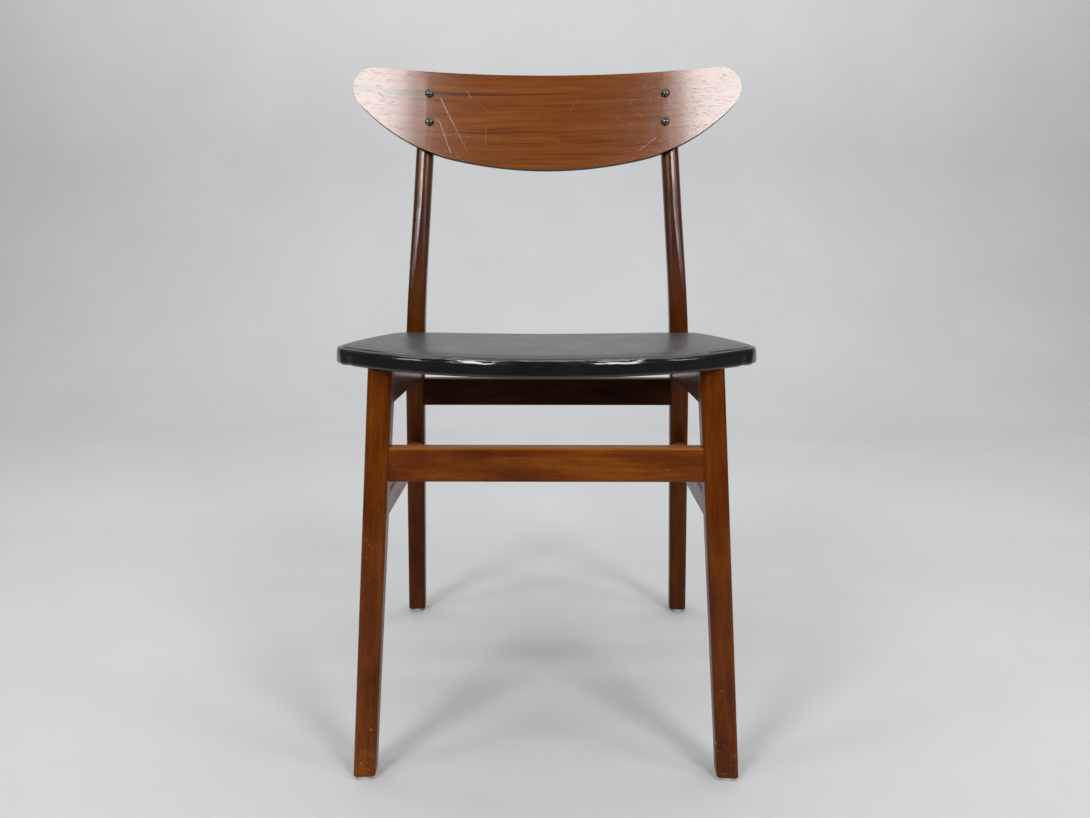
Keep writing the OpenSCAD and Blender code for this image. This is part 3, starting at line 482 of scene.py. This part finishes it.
class Outline:
    """The seat's outline seen from above, as a closed curve of arcs. Y = 0 is the front edge."""

    def __init__(self, step=0.0004):
        front = np.array([0.0, FRONT_BOW])
        side = np.array([SEAT_WIDTH / 2 - SIDE_BOW, SEAT_WIDEST])
        corner = meeting(side, SIDE_BOW - SEAT_CORNER, front, FRONT_BOW - SEAT_CORNER)
        rear_y = SEAT_DEPTH - SEAT_CORNER
        rear_x = side[0] + math.sqrt((SIDE_BOW - SEAT_CORNER) ** 2 - (rear_y - SEAT_WIDEST) ** 2)
        rear = np.array([rear_x, rear_y])

        def heading(a, b):
            return math.atan2(b[1] - a[1], b[0] - a[0])

        turns = (
            (front, FRONT_BOW, -math.pi / 2, heading(front, corner)),
            (corner, SEAT_CORNER, heading(front, corner), heading(side, corner)),
            (side, SIDE_BOW, heading(side, corner), heading(side, rear)),
            (rear, SEAT_CORNER, heading(side, rear), math.pi / 2),
        )
        points, normals, marks = [], [], []
        length = 0.0
        for centre, radius, start, end in turns:
            count = max(8, int(radius * (end - start) / step))
            for angle in np.linspace(start, end, count, endpoint=False):
                out = np.array([math.cos(angle), math.sin(angle)])
                points.append(centre + radius * out)
                normals.append(out)
            marks.append((length, length + radius * (end - start)))
            length += radius * (end - start)
        for x in np.linspace(rear[0], 0.0, int(rear[0] / step), endpoint=False):
            points.append(np.array([x, SEAT_DEPTH]))
            normals.append(np.array([0.0, 1.0]))
        half = len(points)
        for i in range(half - 1, 0, -1):
            points.append(points[i] * [-1, 1])
            normals.append(normals[i] * [-1, 1])
        self.points = np.array(points)
        self.normals = np.array(normals)
        steps = np.linalg.norm(np.roll(self.points, -1, axis=0) - self.points, axis=1)
        self.at = np.concatenate([[0.0], np.cumsum(steps)])
        self.length = self.at[-1]
        self.front_corner = sum(marks[1]) / 2
        self.rear_corner = sum(marks[3]) / 2

    def sample(self, s):
        """Points and outward normals at distances s round the outline."""
        s = np.mod(s, self.length)
        closed = np.vstack([self.points, self.points[:1]])
        normal = np.vstack([self.normals, self.normals[:1]])
        point = np.stack([np.interp(s, self.at, closed[:, k]) for k in (0, 1)], axis=1)
        out = np.stack([np.interp(s, self.at, normal[:, k]) for k in (0, 1)], axis=1)
        return point, out / np.linalg.norm(out, axis=1, keepdims=True)


ACROSS = 88
ALONG = 74
TOP_EDGE = 7.5 * MM
LOW_EDGE = 2.4 * MM
SLACK = 0.6 * MM
SWELL = 1.6 * MM


def round_stations(outline):
    """Distances round the outline: ACROSS steps along the front and rear, ALONG up each side."""
    front, rear, whole = outline.front_corner, outline.rear_corner, outline.length
    runs = (
        np.linspace(-front, front, ACROSS, endpoint=False),
        np.linspace(front, rear, ALONG, endpoint=False),
        np.linspace(rear, whole - rear, ACROSS, endpoint=False),
        np.linspace(whole - rear, whole - front, ALONG, endpoint=False),
    )
    return np.concatenate(runs)


def rim_profile():
    """(inset, height, held) from the top, round the edge, under the board and back over it."""
    top = SEAT_T - SLACK
    rows = [(d * MM, top, 0.0) for d in (30, 25, 21, 17.5, 14.5, 12, 10.2, 8.8)]
    for k in range(18):
        a = k / 17 * math.pi / 2
        rows.append((TOP_EDGE * (1 - math.sin(a)), top - TOP_EDGE * (1 - math.cos(a)), 0.0))
    for k in range(1, 8):
        rows.append((0.0, top - TOP_EDGE - k / 8 * (top - TOP_EDGE - LOW_EDGE), 1.0))
    for k in range(6):
        a = k / 5 * math.pi / 2
        rows.append((LOW_EDGE * (1 - math.cos(a)), LOW_EDGE * (1 - math.sin(a)), 1.0))
    rows += [(d * MM, 0.0, 1.0) for d in (6, 8, 10.5, 13, 16, 19, 21.2, 22)]
    rows += [(HEM, COVER_T * 0.95, 1.0)]
    rows += [(d * MM, COVER_T * 0.95, 1.0) for d in (16, 10, 5, 1.6)]
    inner = COVER_T + 0.2 * MM
    rows += [(inner, COVER_T + BOARD_T * 0.5, 1.0), (inner, COVER_T + BOARD_T, 1.0)]
    rows += [(d * MM, COVER_T + BOARD_T, 1.0) for d in (6, 16, 30)]
    return rows


def patch_points(edge):
    """Inner points of a Coons patch over a closed edge loop of 2 * (ACROSS + ALONG) points."""
    a, b = ACROSS, ALONG
    south = edge[0:a + 1]
    east = edge[a:a + b + 1]
    north = edge[a + b:2 * a + b + 1][::-1]
    west = np.concatenate([edge[2 * a + b:], edge[:1]])[::-1]
    u = np.linspace(0, 1, a + 1)[:, None, None]
    v = np.linspace(0, 1, b + 1)[None, :, None]
    ruled = (1 - v) * south[:, None] + v * north[:, None] + (1 - u) * west[None] + u * east[None]
    corners = (1 - u) * (1 - v) * south[0] + u * (1 - v) * south[-1]
    corners = corners + (1 - u) * v * north[0] + u * v * north[-1]
    return ruled - corners


def build_pad(outline):
    """Closed grid of the foam with its cover. Returns points (inset frame), faces and facts per point."""
    stations = round_stations(outline)
    count = len(stations)
    base, out = outline.sample(stations)
    points, facts = [], []
    rows = rim_profile()
    reach = 0.0
    for k, (inset, height, held) in enumerate(rows):
        if k:
            reach += math.hypot(inset - rows[k - 1][0], height - rows[k - 1][1])
        for i in range(count):
            flat = base[i] - out[i] * inset
            points.append((flat[0], flat[1], height))
            facts.append((stations[i], reach, held))
    faces = []
    for k in range(len(rows) - 1):
        for i in range(count):
            j = (i + 1) % count
            faces.append((k * count + i, (k + 1) * count + i, (k + 1) * count + j, k * count + j))
    # Caps: the top inside the first row, and the foam's underside inside the last one.
    for row, flip in ((0, False), (len(rows) - 1, True)):
        start = row * count
        edge = np.array(points[start:start + count])
        grid = patch_points(edge)
        names = np.zeros((ACROSS + 1, ALONG + 1), dtype=int)
        border = [(i, 0) for i in range(ACROSS)] + [(ACROSS, j) for j in range(ALONG)]
        border += [(ACROSS - i, ALONG) for i in range(ACROSS)] + [(0, ALONG - j) for j in range(ALONG)]
        for index, (i, j) in enumerate(border):
            names[i, j] = start + index
        for i in range(1, ACROSS):
            for j in range(1, ALONG):
                names[i, j] = len(points)
                points.append(tuple(grid[i, j]))
                facts.append((0.0, -1.0, 1.0 if flip else 0.0))
        for i in range(ACROSS):
            for j in range(ALONG):
                face = (names[i, j], names[i + 1, j], names[i + 1, j + 1], names[i, j + 1])
                faces.append(face[::-1] if flip else face)
    return np.array(points), faces, np.array(facts)


def seat_to_world(points):
    """From the flat seat frame to the world: dished, tilted and put where the CAD seat is."""
    low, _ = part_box("seat_cover")
    origin = np.array([0.0, low[1], low[2] + SEAT_DEPTH * math.sin(SEAT_TILT)])
    result = np.array(points, dtype=float)
    result[:, 2] += result[:, 0] ** 2 / (2 * SEAT_DISH)
    c, s = math.cos(SEAT_TILT), math.sin(SEAT_TILT)
    y, z = result[:, 1].copy(), result[:, 2].copy()
    result[:, 1] = c * y + s * z
    result[:, 2] = -s * y + c * z
    return result + origin


def inflate(pad, held, limit):
    """Cloth pressure fills the cover out; no point moves in, or out by more than limit."""
    last_frame = 20
    group = pad.vertex_groups.new(name="held")
    for weight in np.unique(held):
        if weight > 0:
            group.add([int(i) for i in np.nonzero(held == weight)[0]], float(weight), "REPLACE")
    cloth = pad.modifiers.new("cloth", "CLOTH")
    cloth.settings.quality = 5
    cloth.settings.mass = 0.25
    cloth.settings.tension_stiffness = 80
    cloth.settings.compression_stiffness = 80
    cloth.settings.shear_stiffness = 40
    cloth.settings.bending_stiffness = 2.0
    cloth.settings.use_pressure = True
    cloth.settings.uniform_pressure_force = 1.0
    cloth.settings.vertex_group_mass = "held"
    cloth.settings.effector_weights.gravity = 0.0
    cloth.point_cache.frame_start = 1
    cloth.point_cache.frame_end = last_frame
    before = np.empty(len(pad.data.vertices) * 3)
    pad.data.vertices.foreach_get("co", before)
    before = before.reshape(-1, 3)
    for number in range(1, last_frame + 1):
        scene.frame_set(number)
    shown = pad.evaluated_get(bpy.context.evaluated_depsgraph_get())
    after = np.empty(len(pad.data.vertices) * 3)
    shown.data.vertices.foreach_get("co", after)
    normals = np.empty(len(pad.data.vertices) * 3)
    pad.data.vertices.foreach_get("normal", normals)
    normals = normals.reshape(-1, 3)
    swell = np.sum((after.reshape(-1, 3) - before) * normals, axis=1)
    move = normals * (limit * np.tanh(np.maximum(swell, 0.0) / limit))[:, None]
    pad.modifiers.remove(cloth)
    scene.frame_set(1)
    pad.data.vertices.foreach_set("co", (before + move).ravel())
    pad.data.update()


def crease_lift(reach, s, outline):
    """Height of the folds and gathers at a point of the edge, in metres.

    reach is measured down from the pad's first row, and the top begins to turn over at top_start."""
    top_start = 21.4 * MM
    q = reach - top_start
    front = outline.front_corner
    whole = outline.length
    signed = s if s < whole / 2 else s - whole
    side = abs(signed)
    lift = 0.0
    ahead = 1.0 if side < front + 0.02 else math.exp(-((side - front - 0.02) / 0.03) ** 2)
    wander = noise.noise(Vector((signed * 28, 3.1, 0.0)))
    # A soft groove where the top turns down, all along the front.
    groove = 4.4 * MM + 0.8 * MM * wander
    lift -= 0.75 * MM * ahead * math.exp(-((q - groove) / (0.9 * MM)) ** 2)
    # Under it a sharp fold, whole at the corners and broken up along the middle.
    fold = 8.2 * MM + 0.8 * MM * noise.noise(Vector((signed * 17, 9.4, 0.0)))
    broken = noise.noise(Vector((signed * 190, q * 260, 4.2)))
    middle = max(0.0, 1.0 - (side / 0.15) ** 4)
    size = 1.25 * MM * (1 - 0.62 * middle) + 1.1 * MM * middle * broken
    lift += ahead * size * math.exp(-((q - fold) / (0.80 * MM)) ** 2)
    ragged = noise.noise(Vector((signed * 120, q * 420, 7.7)))
    ragged += 0.5 * noise.noise(Vector((signed * 330, q * 700, 1.3)))
    lift += ahead * middle * 0.60 * MM * ragged * math.exp(-((q - 8.8 * MM) / (3.0 * MM)) ** 2)
    # Gathers where the cover is pulled round a corner and under the board.
    for corner, strength in ((front, 1.0), (outline.rear_corner, 0.7)):
        near = math.exp(-((side - corner) / 0.034) ** 4)
        below = 1.0 / (1.0 + math.exp(-(q - 15.0 * MM) / (1.8 * MM)))
        inward = math.exp(-(max(0.0, q - 27 * MM) / (9 * MM)) ** 2)
        drift = 2.2 * noise.noise(Vector((side * 60, 0.5, corner)))
        pleat = math.sin(side * 2 * math.pi / (7.5 * MM) + drift)
        depth = 0.55 + 0.45 * noise.noise(Vector((side * 90, 5.5, corner)))
        lift += strength * near * below * inward * 2.1 * MM * (0.25 + 0.75 * pleat) * depth
    return lift


def add_creases(pad, facts, outline):
    """Moves the edge in and out along its normals, and adds soft pulls on top by the corners."""
    mesh = pad.data
    normals = [v.normal.copy() for v in mesh.vertices]
    for index, vertex in enumerate(mesh.vertices):
        s, reach, _ = facts[index]
        if reach >= 0:
            vertex.co += normals[index] * crease_lift(reach, s, outline)
    low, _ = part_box("seat_cover")
    for index, vertex in enumerate(mesh.vertices):
        if normals[index].z < 0.8:
            continue
        x, y = abs(vertex.co.x), vertex.co.y - low[1]
        for x0, y0, x1, y1, size in (
            (0.150, 0.085, 0.208, 0.098, 0.30),
            (0.158, 0.108, 0.212, 0.116, 0.22),
            (0.140, 0.062, 0.196, 0.078, 0.22),
        ):
            run = Vector((x1 - x0, y1 - y0))
            at = Vector((x - x0, y - y0))
            share = at.dot(run) / run.length_squared
            off = (at - run * share).length
            fade = math.exp(-((share - 0.6) / 0.45) ** 4)
            wave = math.exp(-(off / 0.0035) ** 2) - 0.6 * math.exp(-((off - 0.006) / 0.004) ** 2)
            vertex.co.z += size * MM * fade * wave
    mesh.update()


def make_pad():
    outline = Outline()
    points, faces, facts = build_pad(outline)
    pad = make_object("seat_pad", seat_to_world(points), faces, leatherette())
    inflate(pad, facts[:, 2], SWELL)
    add_creases(pad, facts, outline)
    smooth = pad.modifiers.new("smooth", "SUBSURF")
    smooth.levels = 1
    smooth.render_levels = 1
    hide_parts("seat_cover", "seat_foam")
    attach(pad, "root")


# ---- Materials and soft edges of the CAD nodes ----
def paint_frame():
    for side, sign in (("left", -1), ("right", 1)):
        slope = (sign * FRONT_SPLAY, -FRONT_RAKE, -1.0)
        leg = stained_wood("stain_front_leg_" + side, slope, gloss=0.22)
        repaint("front_leg_" + side, leg)
        lean = (sign * -0.05, 0.0, 1.0)
        # Painted shade: the rear legs get a darker copy of the stain (0.62), for the seat's shadow.
        rear = stained_wood("stain_rear_leg_" + side, lean, 0.62, bend=REAR_SLOPE, wear=0.5, gloss=1.0)
        repaint("rear_leg_" + side, rear)
        # Painted shade: the side rails get a darker copy of the stain (0.7).
        rail = stained_wood("stain_rail_" + side, (sign * 0.06, 1.0, -0.03), 0.7, wear=0.3)
        repaint("side_rail_" + side, rail)
        run = (sign * 0.05, 1.0, -0.05)
        # Painted shade: the side stretchers get a darker copy of the stain (0.8).
        stretcher = stained_wood("stain_stretcher_" + side, run, 0.8, wear=0.5, gloss=0.3)
        repaint("side_stretcher_" + side, stretcher)
    across = (1.0, 0.0, 0.0)
    # Painted light: the front stretcher gets a brighter copy of the stain (1.2).
    broad = stained_wood("stain_front_stretcher", across, 1.2, wear=0.4, gloss=0.2, joint=STRETCHER_END)
    repaint("front_stretcher", broad)
    # Painted shade: the rear rail under the seat gets a much darker copy of the stain (0.26).
    repaint("rear_rail", stained_wood("stain_rear_rail", across, 0.26, wear=0.2, gloss=0.06))
    back_low, back_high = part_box("backrest")
    middle_y = back_high[1] - BACK_T - (back_high[2] - back_low[2]) / 2 * math.tan(LEAN)
    repaint("backrest", veneer("veneer", middle_y - BACK_RADIUS, back_high[2]))
    dowel = plain_wood("dowel_wood", "Y", (0.62, 0.44, 0.25), (0.42, 0.27, 0.13))
    for node in ("side_rail_dowels", "side_stretcher_dowels", "front_stretcher_dowels", "rear_rail_dowels"):
        repaint(node, dowel)
    repaint("seat_board", plain_wood("board_wood", "Y", (0.52, 0.36, 0.20), (0.34, 0.21, 0.10), plies=True))
    steel = metal("screw_steel", (0.42, 0.42, 0.43), (0.66, 0.66, 0.66), 0.28, 500.0)
    for node in ("cover_staples", "seat_screws", "backrest_screws", "glide_nails"):
        repaint(node, steel)
    repaint("screw_caps", metal("cap_metal", (0.060, 0.052, 0.048), (0.20, 0.17, 0.15), 0.13, 420.0, 0.01))
    white = nylon()
    for node in ("glide_front_left", "glide_front_right", "glide_rear_left", "glide_rear_right"):
        repaint(node, white)
    soften("backrest", 1.0 * MM, 50.0)


# ---- Studio ----
def make_studio():
    """A pale floor that sweeps up into a wall, a wide soft light above, two on each side, and one
    on the wall."""
    width, front, back, radius, top = 9.0, -3.5, 2.6, 1.0, 4.5
    profile = [(front, 0.0), (back - radius, 0.0)]
    for k in range(1, 24):
        a = k / 24 * math.pi / 2
        profile.append((back - radius + radius * math.sin(a), radius - radius * math.cos(a)))
    profile += [(back, radius), (back, top)]
    points = [(x, y, z) for y, z in profile for x in (-width / 2, width / 2)]
    faces = [(2 * k, 2 * k + 1, 2 * k + 3, 2 * k + 2) for k in range(len(profile) - 1)]
    make_object("studio_sweep", points, faces, studio_floor())

    world = bpy.data.worlds.new("studio_air")
    world.use_nodes = True
    world.node_tree.nodes["Background"].inputs[0].default_value = (0.80, 0.84, 0.90, 1.0)
    world.node_tree.nodes["Background"].inputs[1].default_value = 0.12
    scene.world = world

    def soft_light(name, place, aim, size, power, tint=(1.0, 1.0, 1.0)):
        data = bpy.data.lights.new(name, "AREA")
        data.shape = "RECTANGLE"
        data.size, data.size_y = size
        data.energy = power
        data.color = tint
        lamp = bpy.data.objects.new(name, data)
        lamp.location = place
        lamp.rotation_euler = (Vector(aim) - Vector(place)).to_track_quat("-Z", "Y").to_euler()
        scene.collection.objects.link(lamp)

    soft_light("light_above", (0.0, 0.2, 2.9), (0.0, 0.2, 0.0), (4.2, 3.0), 38.0)
    soft_light("light_left", (-1.00, -1.53, 1.70), (0.0, 0.1, 0.65), (0.54, 0.85), 22.0)
    soft_light("light_right", (1.00, -1.53, 1.70), (0.0, 0.1, 0.65), (0.54, 0.85), 22.0)
    soft_light("light_far_left", (-2.0, -1.0, 1.50), (0.0, -0.1, 0.45), (0.50, 0.90), 9.0)
    soft_light("light_far_right", (2.0, -1.0, 1.50), (0.0, -0.1, 0.45), (0.50, 0.90), 9.0)
    soft_light("light_wall", (0.0, 0.9, 2.9), (0.0, 2.6, 1.0), (7.0, 0.8), 68.0, (0.975, 0.985, 1.0))


scene.view_settings.view_transform = "Standard"
make_camera()
make_studio()
paint_frame()
make_pad()
